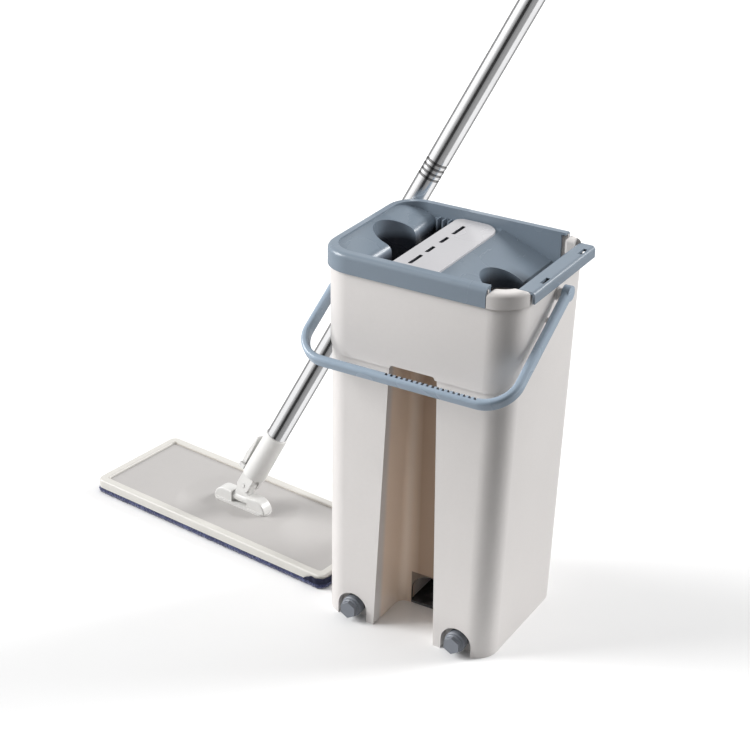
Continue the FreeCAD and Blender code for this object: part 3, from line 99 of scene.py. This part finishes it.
class Nodes:
    """A material's node tree, with short ways to add and join nodes."""

    def __init__(self, name):
        self.material = bpy.data.materials.new(name)
        self.material.use_nodes = True
        self.tree = self.material.node_tree
        self.shader = self.tree.nodes["Principled BSDF"]
        self.place = self.add("ShaderNodeTexCoord").outputs["Object"]

    def add(self, kind, **settings):
        node = self.tree.nodes.new(kind)
        for key, value in settings.items():
            setattr(node, key, value)
        return node

    def join(self, source, target):
        self.tree.links.new(source, target)

    def set(self, **values):
        for key, value in values.items():
            self.shader.inputs[key.replace("_", " ")].default_value = value

    def stretched(self, scale, turn=(0.0, 0.0, 0.0)):
        mapping = self.add("ShaderNodeMapping")
        mapping.inputs["Scale"].default_value = scale
        mapping.inputs["Rotation"].default_value = turn
        self.join(self.place, mapping.inputs["Vector"])
        return mapping.outputs["Vector"]

    def noise(self, scale, detail, place=None, roughness=0.5):
        node = self.add("ShaderNodeTexNoise")
        node.inputs["Scale"].default_value = scale
        node.inputs["Detail"].default_value = detail
        node.inputs["Roughness"].default_value = roughness
        self.join(place or self.place, node.inputs["Vector"])
        return node.outputs["Fac"]

    def ramp(self, source, low, high, low_value=0.0, high_value=1.0):
        node = self.add("ShaderNodeMapRange")
        node.inputs["From Min"].default_value = low
        node.inputs["From Max"].default_value = high
        node.inputs["To Min"].default_value = low_value
        node.inputs["To Max"].default_value = high_value
        self.join(source, node.inputs["Value"])
        return node.outputs["Result"]

    def math(self, operation, first, second):
        node = self.add("ShaderNodeMath", operation=operation)
        for socket, value in zip(node.inputs, (first, second)):
            if isinstance(value, (int, float)):
                socket.default_value = value
            else:
                self.join(value, socket)
        return node.outputs["Value"]

    def blend(self, factor, first, second):
        node = self.add("ShaderNodeMix", data_type="RGBA")
        for number, value in ((MIX_FACTOR, factor), (MIX_FIRST, first), (MIX_SECOND, second)):
            socket = node.inputs[number]
            if isinstance(value, tuple):
                socket.default_value = value + (1.0,)
            elif isinstance(value, (int, float)):
                socket.default_value = value
            else:
                self.join(value, socket)
        return node.outputs[MIX_RESULT]

    def measured(self, origin, turn):
        """X, Y and Z in metres from a point of the part, in axes turned from the part's."""
        back = Euler(turn).to_matrix().inverted()
        mapping = self.add("ShaderNodeMapping")
        mapping.inputs["Rotation"].default_value = back.to_euler()
        mapping.inputs["Location"].default_value = -(back @ origin)
        self.join(self.place, mapping.inputs["Vector"])
        parts = self.add("ShaderNodeSeparateXYZ")
        self.join(mapping.outputs["Vector"], parts.inputs["Vector"])
        return parts.outputs["X"], parts.outputs["Y"], parts.outputs["Z"]

    def within(self, source, low, high, soft):
        """1 between low and high, falling to 0 over the distance soft outside them."""
        rise = self.ramp(source, low - soft, low)
        fall = self.ramp(source, high, high + soft, 1.0, 0.0)
        return self.math("MULTIPLY", rise, fall)

    def region(self, origin, soft, x=None, y=None, z=None, turn=(0.0, 0.0, 0.0), comb=None):
        """1 inside a box whose sides are given from a point of the part; comb keeps teeth of it."""
        mask = None
        places = self.measured(origin, turn)
        if comb is not None:
            axis, first, pitch, wide = comb
            steps = self.math("DIVIDE", self.math("SUBTRACT", places[axis], first), pitch)
            phase = self.math("FRACT", steps, 0.0)
            mask = self.math("LESS_THAN", phase, wide / pitch)
        for source, limits in zip(places, (x, y, z)):
            if limits is not None:
                side = self.within(source, *limits, soft)
                mask = side if mask is None else self.math("MULTIPLY", mask, side)
        return mask

    def painted(self, tone, marks):
        """The tone with the painted shade of each mark laid over it."""
        for origin, limits, strength, tint in marks:
            tone = self.blend(self.math("MULTIPLY", self.region(origin, **limits), strength), tone, tint)
        return tone

    def bump(self, height, depth, strength):
        node = self.add("ShaderNodeBump")
        node.inputs["Strength"].default_value = strength
        node.inputs["Distance"].default_value = depth
        self.join(height, node.inputs["Height"])
        return node.outputs["Normal"]


def scaled(colour, amount):
    """The colour made darker, or lighter where amount is above 1."""
    return tuple(channel * amount for channel in colour)


# the scales of the patterns, a higher one giving a finer pattern, and the turn of the scuffs in radians
CLOUD = 9.0
SPECK = 260.0
SCUFF = 3.0
SCUFF_STRETCH = (18.0, 18.0, 260.0)
SCUFF_TURN = (0.3, 0.1, 0.4)
PATCH = 16.0
SMEAR = 34.0
HAIR_BRUSHED = (2400.0, 2400.0, 40.0)
HAIR_POLISHED = (900.0, 900.0, 12.0)
DUST = 120.0
RUBBER_GRAIN = 900.0
HOOKS = 700.0
LOOPS = 620.0
WEAR = 90.0
RIBS = 480.0


def plastic(name, colour, roughness, grain=1500.0, grain_depth=0.00005, streaks=0.25, marks=()):
    """Moulded plastic: fine grain, faint cloudy colour, long soft scuffs that change its sheen, and the
    painted shade of any marks.
    """
    made = Nodes(name)
    cloud = made.ramp(made.noise(CLOUD, 3.0), 0.35, 0.65)
    speck = made.ramp(made.noise(SPECK, 2.0), 0.3, 0.7)
    tone = made.blend(cloud, scaled(colour, 0.965), colour)
    tone = made.blend(made.math("MULTIPLY", speck, 0.05), tone, scaled(colour, 0.72))
    scuff_place = made.stretched(SCUFF_STRETCH, SCUFF_TURN)
    scuff = made.ramp(made.noise(SCUFF, 4.0, scuff_place, 0.65), 0.62, 0.74)
    patch = made.ramp(made.noise(PATCH, 2.0), 0.45, 0.62)
    scuff = made.math("MULTIPLY", scuff, patch)
    tone = made.blend(made.math("MULTIPLY", scuff, streaks * 0.35), tone, scaled(colour, 1.12))
    # the painted shade of the marks laid over the colour
    made.join(made.painted(tone, marks), made.shader.inputs["Base Color"])
    sheen = made.math("ADD", made.ramp(cloud, 0.0, 1.0, roughness - 0.03, roughness + 0.03),
                      made.math("MULTIPLY", scuff, streaks * 0.5))
    made.join(sheen, made.shader.inputs["Roughness"])
    made.join(made.bump(made.noise(grain, 3.0), grain_depth, 0.6), made.shader.inputs["Normal"])
    return made.material


def steel(name, colour, roughness, brushed=False, marks=()):
    """Polished tube: hair-fine drawing marks along it, a few faint smears, and the painted shade of any
    marks.
    """
    made = Nodes(name)
    smear = made.ramp(made.noise(SMEAR, 4.0), 0.4, 0.7)
    tone = made.blend(smear, colour, scaled(colour, 0.93))
    # the painted shade of the marks laid over the colour
    made.join(made.painted(tone, marks), made.shader.inputs["Base Color"])
    hair = made.noise(1.0, 2.0, made.stretched(HAIR_BRUSHED if brushed else HAIR_POLISHED))
    made.join(made.math("ADD", made.ramp(smear, 0.0, 1.0, roughness, roughness + 0.06),
                        made.math("MULTIPLY", hair, 0.05)), made.shader.inputs["Roughness"])
    made.join(made.bump(hair, 0.000003, 0.3), made.shader.inputs["Normal"])
    made.set(Metallic=1.0)
    return made.material


def rubber(name, colour):
    made = Nodes(name)
    dust = made.ramp(made.noise(DUST, 4.0), 0.45, 0.75)
    made.join(made.blend(made.math("MULTIPLY", dust, 0.3), colour, (0.25, 0.24, 0.23)),
              made.shader.inputs["Base Color"])
    made.join(made.ramp(dust, 0.0, 1.0, 0.55, 0.75), made.shader.inputs["Roughness"])
    made.join(made.bump(made.noise(RUBBER_GRAIN, 3.0), 0.0001, 0.5), made.shader.inputs["Normal"])
    return made.material


def tape(name, colour):
    """Hook tape: rows of tiny hooks."""
    made = Nodes(name)
    rows = made.add("ShaderNodeTexVoronoi")
    rows.inputs["Scale"].default_value = HOOKS
    made.join(made.place, rows.inputs["Vector"])
    spots = made.ramp(rows.outputs["Distance"], 0.1, 0.6)
    made.join(made.blend(spots, colour, scaled(colour, 0.5)), made.shader.inputs["Base Color"])
    made.join(made.bump(spots, 0.0004, 1.0), made.shader.inputs["Normal"])
    made.set(Roughness=0.8)
    return made.material


def microfibre(name, colour, pale):
    """Looped pile: pale loop tips over a dark ground."""
    made = Nodes(name)
    loops = made.add("ShaderNodeTexVoronoi")
    loops.inputs["Scale"].default_value = LOOPS
    made.join(made.place, loops.inputs["Vector"])
    tips = made.ramp(loops.outputs["Distance"], 0.15, 0.75, 1.0, 0.0)
    patch = made.ramp(made.noise(WEAR, 3.0), 0.35, 0.65)
    worn = made.math("MULTIPLY", tips, made.math("ADD", 0.35, made.math("MULTIPLY", patch, 0.65)))
    made.join(made.blend(worn, colour, pale), made.shader.inputs["Base Color"])
    made.join(made.bump(tips, 0.0009, 0.8), made.shader.inputs["Normal"])
    made.set(Roughness=0.95, Sheen_Weight=0.4)
    return made.material


def webbing(name, colour):
    """Woven binding: fine diagonal ribs."""
    made = Nodes(name)
    ribs = made.add("ShaderNodeTexWave")
    ribs.inputs["Scale"].default_value = RIBS
    ribs.inputs["Distortion"].default_value = 1.5
    made.join(made.place, ribs.inputs["Vector"])
    made.join(made.blend(ribs.outputs["Fac"], colour, scaled(colour, 1.7)), made.shader.inputs["Base Color"])
    made.join(made.bump(ribs.outputs["Fac"], 0.0002, 0.6), made.shader.inputs["Normal"])
    made.set(Roughness=0.85)
    return made.material


def mark(strength, tint, origin=BUCKET, **limits):
    """One patch of painted shade for plastic() or steel(): a box with its sides in metres from origin."""
    return origin, limits, strength, tint


# painted warm shade between the chambers, painted black shade in the hole through the web's foot, and a
# painted shadow line under the rim's solid corner
BUCKET_PAINTED_SHADE = (
    mark(0.9, (0.83, 0.68, 0.55), x=(-0.034, 0.010), y=(-0.067, -0.026), z=(-0.01, 0.2785), soft=0.006),
    mark(0.92, (0.34, 0.235, 0.165), x=(-0.0130, 0.0325), y=(-0.050, -0.026), z=(-0.01, 0.2785), soft=0.014),
    mark(0.92, (0.02, 0.018, 0.016), x=(-0.0206, 0.0206), y=(-0.0294, -0.020), z=(-0.01, 0.036), soft=0.0004),
    mark(0.5, (0.33, 0.27, 0.24), x=(0.070, 0.104), y=(-0.09, -0.048), z=(0.3603, 0.3614), soft=0.0004),
)

# painted dark shade in the insides of the squeeze slot and the two scoops, of the deck's slits under the
# plate, and of the rinse bar's slits
NAVY_PAINTED_SHADE = (0.016, 0.018, 0.026)
BAR_SLITS = ((-0.0292, -0.0148), (0.0493, 0.0637))
LID_PAINTED_SHADE = (
    mark(0.93, NAVY_PAINTED_SHADE, x=(-0.0940, -0.0350), y=(-0.0690, 0.0705), z=(0.32, 0.3560), soft=0.0085),
    mark(0.88, NAVY_PAINTED_SHADE, x=(0.0275, 0.0765), y=(-0.0325, 0.0165), z=(0.32, 0.3470), soft=0.0110),
    mark(0.9, NAVY_PAINTED_SHADE, x=(-0.0240, -0.0180), y=(-0.0530, 0.0550), z=(0.30, 0.3720), soft=0.0002),
    *(mark(0.95, NAVY_PAINTED_SHADE, x=(0.0970, 0.1000), y=ends, z=(0.36, 0.3719), soft=0.0002) for ends in BAR_SLITS),
)

# painted shade in the slits of the scraper plate
PLATE_SLITS = ((-0.0518, -0.0286), (-0.0208, -0.0052), (0.0056, 0.0212), (0.0302, 0.0534))
PLATE_PAINTED_SHADE = tuple(mark(0.95, NAVY_PAINTED_SHADE, x=(-0.0229, -0.0191), y=ends, z=(0.36, 0.3722), soft=0.0001)
                    for ends in PLATE_SLITS)

# painted shade in the notches along the carry handle; a comb is an axis, its first tooth, their pitch and
# their width
NOTCH_COMB = (0, -0.0112, 0.0052, 0.0026)
BAIL_PAINTED_SHADE = (mark(0.85, (0.035, 0.045, 0.065), BAIL_PIVOT, x=(-0.0116, 0.0802), y=(-0.1305, -0.1268),
                   z=(-0.001, 0.02), soft=0.0002, turn=(BAIL_REST, 0.0, 0.0), comb=NOTCH_COMB),)

# a fine painted shade line along each long side of the mop head's rim
RIM_LINES = ((-0.0531, -0.0519), (0.0519, 0.0531))
RIM_PAINTED_SHADE = tuple(mark(0.45, (0.30, 0.26, 0.21), HEAD_ORIGIN, x=(-0.1545, 0.1448), y=ends, soft=0.0004,
                       turn=(0.0, 0.0, HEAD_TURN)) for ends in RIM_LINES)

# painted dark shade in the rolled rings at the foot of each upper pole section, measured along the pole
SECTION_STARTS = (0.398, 0.713, 1.028)
RING_SPAN = (0.0048, 0.0245)
RING_FIRST = 0.0050
RING_PITCH = 0.0055
RING_WIDE = 0.0026
POLE_PAINTED_SHADE = tuple(
    mark(0.75, (0.06, 0.057, 0.054), POLE_FOOT, z=(start + RING_SPAN[0], start + RING_SPAN[1]), soft=0.0001,
         turn=tuple(POLE_TURN), comb=(2, start + RING_FIRST, RING_PITCH, RING_WIDE))
    for start in SECTION_STARTS)

MATERIALS = {
    "bucket_beige": plastic("bucket_beige", (0.66, 0.635, 0.62), 0.36, marks=BUCKET_PAINTED_SHADE),
    "lid_blue": plastic("lid_blue", (0.195, 0.240, 0.290), 0.26, grain=1100.0, grain_depth=0.00004,
                        streaks=0.10, marks=LID_PAINTED_SHADE),
    "bail_blue": plastic("bail_blue", (0.31, 0.385, 0.47), 0.28, marks=BAIL_PAINTED_SHADE),
    "scraper_white": plastic("scraper_white", (0.49, 0.485, 0.50), 0.28, marks=PLATE_PAINTED_SHADE),
    "wiper_red": rubber("wiper_red", (0.20, 0.012, 0.012)),
    "plug_grey": plastic("plug_grey", (0.19, 0.205, 0.235), 0.42, grain=800.0, grain_depth=0.0001),
    "seal_rubber": rubber("seal_rubber", (0.02, 0.02, 0.022)),
    "head_cream": plastic("head_cream", (0.60, 0.585, 0.55), 0.34, marks=RIM_PAINTED_SHADE),
    "panel_grey": plastic("panel_grey", (0.43, 0.415, 0.405), 0.46, grain=900.0, grain_depth=0.0001),
    "hook_tape": tape("hook_tape", (0.30, 0.30, 0.30)),
    "socket_white": plastic("socket_white", (0.66, 0.655, 0.64), 0.32),
    "pin_steel": steel("pin_steel", (0.62, 0.62, 0.63), 0.28, brushed=True),
    "pole_steel": steel("pole_steel", (0.80, 0.80, 0.81), 0.13, marks=POLE_PAINTED_SHADE),
    "insert_grey": plastic("insert_grey", (0.14, 0.145, 0.155), 0.5),
    "grip_grey": plastic("grip_grey", (0.25, 0.30, 0.36), 0.45, grain=700.0, grain_depth=0.00015),
}


def dress(node, material):
    node.data.materials.clear()
    node.data.materials.append(material)


for row in frame["record"]["subparts"]:
    if row["material_slot"] in MATERIALS:
        dress(nodes[row["node"]], MATERIALS[row["material_slot"]])

# ---- mop pad ----

PAD_STEP = 0.0015
PILE = 0.0009


def outline(step):
    """Points round the mop head's edge, each as (place, outward direction)."""
    radius = HEAD_CORNER
    left, right, half = HEAD_LEFT, HEAD_RIGHT, HEAD_HALF
    centres = ((right - radius, -half + radius, -90.0), (right - radius, half - radius, 0.0),
               (left + radius, half - radius, 90.0), (left + radius, -half + radius, 180.0))
    points = []
    for number, (x, y, start) in enumerate(centres):
        turns = max(3, round(radius * math.pi / 2 / step))
        for index in range(turns + 1):
            angle = math.radians(start + 90.0 * index / turns)
            points.append(((x + radius * math.cos(angle), y + radius * math.sin(angle)),
                           (math.cos(angle), math.sin(angle))))
        following = centres[(number + 1) % 4]
        angle = math.radians(start + 90.0)
        here = Vector(points[-1][0])
        there = Vector((following[0] + radius * math.cos(angle), following[1] + radius * math.sin(angle)))
        count = max(2, round((there - here).length / step))
        for index in range(1, count):
            spot = here.lerp(there, index / count)
            points.append(((spot.x, spot.y), (math.cos(angle), math.sin(angle))))
    return points


def in_head(x, y, z):
    return HEAD_ORIGIN + HEAD_ALONG * x + HEAD_ACROSS * y + Vector((0.0, 0.0, z))


def new_piece(name, vertices, faces, material):
    mesh = bpy.data.meshes.new(name)
    mesh.from_pydata(vertices, [], faces)
    mesh.validate()
    mesh.materials.append(material)
    for face in mesh.polygons:
        face.use_smooth = True
    piece = bpy.data.objects.new(name, mesh)
    bpy.context.scene.collection.objects.link(piece)
    return piece


# the pad's side from the floor up: height, and how far it stands out from the head's edge
PAD_PROFILE = ((0.0003, -0.0022), (0.0009, -0.0006), (0.0021, 0.0004), (0.0034, 0.0007), (0.0047, 0.0004),
               (0.0057, -0.0006), (PAD_TOP, -0.0020))
LOOPED_FROM = -0.001
LOOP_LIFT = 0.0006
PAD_SEED = 7


def make_pad():
    """The microfibre pad: a soft slab whose side is a belt of uneven loops."""
    chance = random.Random(PAD_SEED)
    points = outline(PAD_STEP)
    vertices = []
    for height, bulge in PAD_PROFILE:
        looped = bulge > LOOPED_FROM
        for (x, y), (across, along) in points:
            out = bulge + (chance.random() * PILE if looped else 0.0)
            rise = height + (chance.random() - 0.5) * LOOP_LIFT if looped else height
            vertices.append(in_head(x + across * out, y + along * out, rise))
    count = len(points)
    faces = []
    for row in range(len(PAD_PROFILE) - 1):
        for index in range(count):
            following = (index + 1) % count
            faces.append((row * count + index, row * count + following,
                          (row + 1) * count + following, (row + 1) * count + index))
    for row, order in ((0, -1), (len(PAD_PROFILE) - 1, 1)):
        middle = len(vertices)
        vertices.append(in_head(0.0, 0.0, PAD_PROFILE[row][0]))
        for index in range(count):
            ends = (row * count + index, row * count + (index + 1) % count)[::order]
            faces.append((*ends, middle))
    pad = new_piece("microfibre_pad", vertices, faces,
                    microfibre("pad_navy", (0.018, 0.022, 0.075), (0.085, 0.11, 0.26)))
    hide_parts("mop_pad")
    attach(pad, "mop_head")


WRAP_GAP = 0.0006
WRAP_THICK = 0.0007
WRAP_REACH = 0.018
WRAP_STEP = 0.0011
WRAP_ROWS = 7
WRAP_LOW = 0.0066
WRAP_START = 0.0064
WRAP_RISE = 0.0066
WRAP_WIDEN = 2.2
WRAP_CURVE = 0.7
FOLD_DEEP = 0.0005
FOLD_PITCH = 0.9
FOLD_SLANT = 2.0
FOLD_FADE = 3.0
# points further apart than this are not neighbours on the outline
BREAK = 0.01


def make_wrap():
    """The pad's bound corner, drawn up round the head's front right corner in small folds."""
    corner = Vector((HEAD_RIGHT - HEAD_CORNER, HEAD_CORNER - HEAD_HALF))
    points = [point for point in outline(WRAP_STEP)
              if (Vector(point[0]) - corner).length < WRAP_REACH and point[0][1] < 0.0]

    def after_break(index):
        """True if this point does not follow on from the one before it."""
        return (Vector(points[index][0]) - Vector(points[index - 1][0])).length > BREAK

    first = next(index for index in range(len(points)) if after_break(index))
    points = points[first:] + points[:first]
    vertices = []
    for side in (0.0, WRAP_THICK):
        for row in range(WRAP_ROWS):
            share = row / (WRAP_ROWS - 1)
            for index, ((x, y), (across, along)) in enumerate(points):
                near = 1.0 - abs(2.0 * index / (len(points) - 1) - 1.0)
                top = WRAP_START + WRAP_RISE * min(1.0, near * WRAP_WIDEN) ** WRAP_CURVE
                height = WRAP_LOW + max(0.0, top - WRAP_LOW) * share
                wave = math.sin(index * FOLD_PITCH + share * FOLD_SLANT)
                fold = FOLD_DEEP * wave * min(1.0, near * FOLD_FADE)
                out = WRAP_GAP + FOLD_DEEP + fold + side
                vertices.append(in_head(x + across * out, y + along * out, height))
    count = len(points)
    layer = WRAP_ROWS * count
    faces = []
    for row in range(WRAP_ROWS - 1):
        for index in range(count - 1):
            corners = (row * count + index, row * count + index + 1,
                       (row + 1) * count + index + 1, (row + 1) * count + index)
            faces.append(tuple(layer + i for i in corners))
            faces.append(corners[::-1])
    for row in (0, WRAP_ROWS - 1):
        for index in range(count - 1):
            rim = (row * count + index, row * count + index + 1, layer + row * count + index + 1,
                   layer + row * count + index)
            faces.append(rim if row == 0 else rim[::-1])
    for index in (0, count - 1):
        for row in range(WRAP_ROWS - 1):
            end = (row * count + index, (row + 1) * count + index, layer + (row + 1) * count + index,
                   layer + row * count + index)
            faces.append(end[::-1] if index == 0 else end)
    wrap = new_piece("pad_corner_wrap", vertices, faces, webbing("wrap_navy", (0.006, 0.008, 0.028)))
    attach(wrap, "mop_head")


make_pad()
make_wrap()

# ---- stage ----

FLOOR_GREY = (0.92, 0.92, 0.92, 1.0)
FLOOR_HALF = 60.0


def square(half, height):
    """The corners of a level square about the origin."""
    return [(-half, -half, height), (half, -half, height), (half, half, height), (-half, half, height)]


def make_floor():
    mesh = bpy.data.meshes.new("floor")
    mesh.from_pydata(square(FLOOR_HALF, 0.0), [], [(0, 1, 2, 3)])
    floor = bpy.data.objects.new("floor", mesh)
    bpy.context.scene.collection.objects.link(floor)
    made = Nodes("floor_paint")
    made.set(Base_Color=FLOOR_GREY, Roughness=0.9, Specular_IOR_Level=0.0)
    mesh.materials.append(made.material)


def aim(place, target):
    """The turn that points an object's -Z from place to target."""
    return (target - place).to_track_quat("-Z", "Y").to_euler()


def sun(name, azimuth, elevation, strength, spread):
    """A wide soft white light from a bearing counted from the front towards the right."""
    data = bpy.data.lights.new(name, "SUN")
    data.energy = strength * math.pi
    data.angle = math.radians(spread)
    light = bpy.data.objects.new(name, data)
    around, up = math.radians(azimuth), math.radians(elevation)
    place = Vector((math.sin(around) * math.cos(up), -math.cos(around) * math.cos(up), math.sin(up)))
    light.rotation_euler = aim(place, Vector())
    bpy.context.scene.collection.objects.link(light)


def card(name, vertices, faces, grey, only_reflected):
    """A studio card that glows a plain grey. The camera does not see it and it throws no shadow."""
    mesh = bpy.data.meshes.new(name)
    mesh.from_pydata(vertices, [], faces)
    piece = bpy.data.objects.new(name, mesh)
    bpy.context.scene.collection.objects.link(piece)
    made = Nodes(name + "_paint")
    made.set(Base_Color=(0.0, 0.0, 0.0, 1.0), Roughness=1.0, Specular_IOR_Level=0.0)
    made.set(Emission_Color=(grey, grey, grey, 1.0), Emission_Strength=1.0)
    mesh.materials.append(made.material)
    piece.visible_camera = False
    piece.visible_shadow = False
    piece.visible_diffuse = not only_reflected


POLE_MIDDLE = 0.5
TUNNEL_RADIUS = 0.060
TUNNEL_LOW = -0.10
TUNNEL_HIGH = 1.10
CARD_STEPS = 8
# strips by where the photo's camera sees them mirrored, from -1 at the pole's left edge to 1 at its
# right, each with its grey; both were set to give the pole the bands it has in the photo
POLE_BANDS = (
    (-1.0, -0.84, 0.32), (-0.84, -0.42, 1.10), (-0.42, -0.30, 0.60), (-0.30, -0.20, 0.32),
    (-0.20, 0.06, 0.035), (0.06, 0.20, 0.30), (0.20, 0.50, 0.38), (0.50, 0.84, 1.10), (0.84, 1.0, 0.36),
)


def make_pole_cards():
    """Strips along the leaning pole that its polished tube mirrors as long bands.

    They face the photo's camera, so the bands fall in the right places only from there."""
    to_camera = (BUCKET + CAMERA_PLACE) - (POLE_FOOT + POLE_ALONG * POLE_MIDDLE)
    facing = (to_camera - POLE_ALONG * to_camera.dot(POLE_ALONG)).normalized()
    level = Vector((math.cos(CAMERA_TURN), math.sin(CAMERA_TURN), 0.0))
    side = POLE_ALONG.cross(facing)
    if side.dot(level) < 0.0:
        side = -side

    def bearing(share):
        """The angle round the pole of the strip that is mirrored at this share of its width."""
        angle = math.asin(share)
        return 2.0 * angle - math.asin(POLE_RADIUS / TUNNEL_RADIUS * math.sin(angle))

    for number, (low, high, grey) in enumerate(POLE_BANDS):
        start, end = bearing(low), bearing(high)
        vertices = []
        for index in range(CARD_STEPS + 1):
            angle = start + (end - start) * index / CARD_STEPS
            out = (facing * math.cos(angle) + side * math.sin(angle)) * TUNNEL_RADIUS
            for along in (TUNNEL_LOW, TUNNEL_HIGH):
                vertices.append(POLE_FOOT + POLE_ALONG * along + out)
        faces = [(2 * i, 2 * i + 2, 2 * i + 3, 2 * i + 1) for i in range(CARD_STEPS)]
        card("pole_card_%d" % number, vertices, faces, grey, only_reflected=True)


GROUND_HALF = 20.0
GROUND_HEIGHT = 0.0002
GROUND_GREY = 0.42


def make_ground_card():
    """A grey ground that only reflections see, so that the pole stays visible away from its strips."""
    card("ground_card", square(GROUND_HALF, GROUND_HEIGHT), [(0, 1, 2, 3)], GROUND_GREY, only_reflected=True)


FLAG_AZIMUTH = math.radians(42.0)
FLAG_AWAY = 0.42
FLAG_HALF = 0.42
FLAG_HIGH = 0.55


def make_flag():
    """A black card before the bucket's near corner, which takes the floor's glare off it."""
    away = Vector((math.sin(FLAG_AZIMUTH), -math.cos(FLAG_AZIMUTH), 0.0))
    across = Vector((math.cos(FLAG_AZIMUTH), math.sin(FLAG_AZIMUTH), 0.0)) * FLAG_HALF
    centre = BUCKET + away * FLAG_AWAY
    top = Vector((0.0, 0.0, FLAG_HIGH))
    card("flag", [centre - across, centre + across, centre + across + top, centre - across + top],
         [(0, 1, 2, 3)], 0.0, only_reflected=False)


WORLD_STRENGTH = 0.60


def make_world():
    world = bpy.data.worlds.new("studio")
    bpy.context.scene.world = world
    world.use_nodes = True
    background = world.node_tree.nodes["Background"]
    background.inputs["Color"].default_value = (1.0, 1.0, 1.0, 1.0)
    background.inputs["Strength"].default_value = WORLD_STRENGTH


def make_camera():
    turn, rise, roll = CAMERA_TURN, CAMERA_RISE, CAMERA_ROLL
    level = Vector((math.cos(turn), math.sin(turn), 0.0))
    back = Vector((math.sin(turn) * math.cos(rise), -math.cos(turn) * math.cos(rise), math.sin(rise)))
    right = level * math.cos(roll) + back.cross(level) * math.sin(roll)
    up = back.cross(right)
    data = bpy.data.cameras.new("camera")
    data.lens = CAMERA_LENS
    data.sensor_width = CAMERA_SENSOR
    camera = bpy.data.objects.new("camera", data)
    camera.matrix_world = Matrix.Translation(BUCKET + CAMERA_PLACE) @ Matrix(
        (right, up, back)).transposed().to_4x4()
    bpy.context.scene.collection.objects.link(camera)
    bpy.context.scene.camera = camera


make_floor()
make_world()
sun("key_left", azimuth=-65.0, elevation=27.0, strength=1.08, spread=32.0)
sun("back_right", azimuth=139.0, elevation=27.0, strength=0.86, spread=24.0)
make_pole_cards()
make_ground_card()
make_flag()
make_camera()
bpy.context.scene.view_settings.view_transform = "Standard"

bpy.context.view_layer.update()
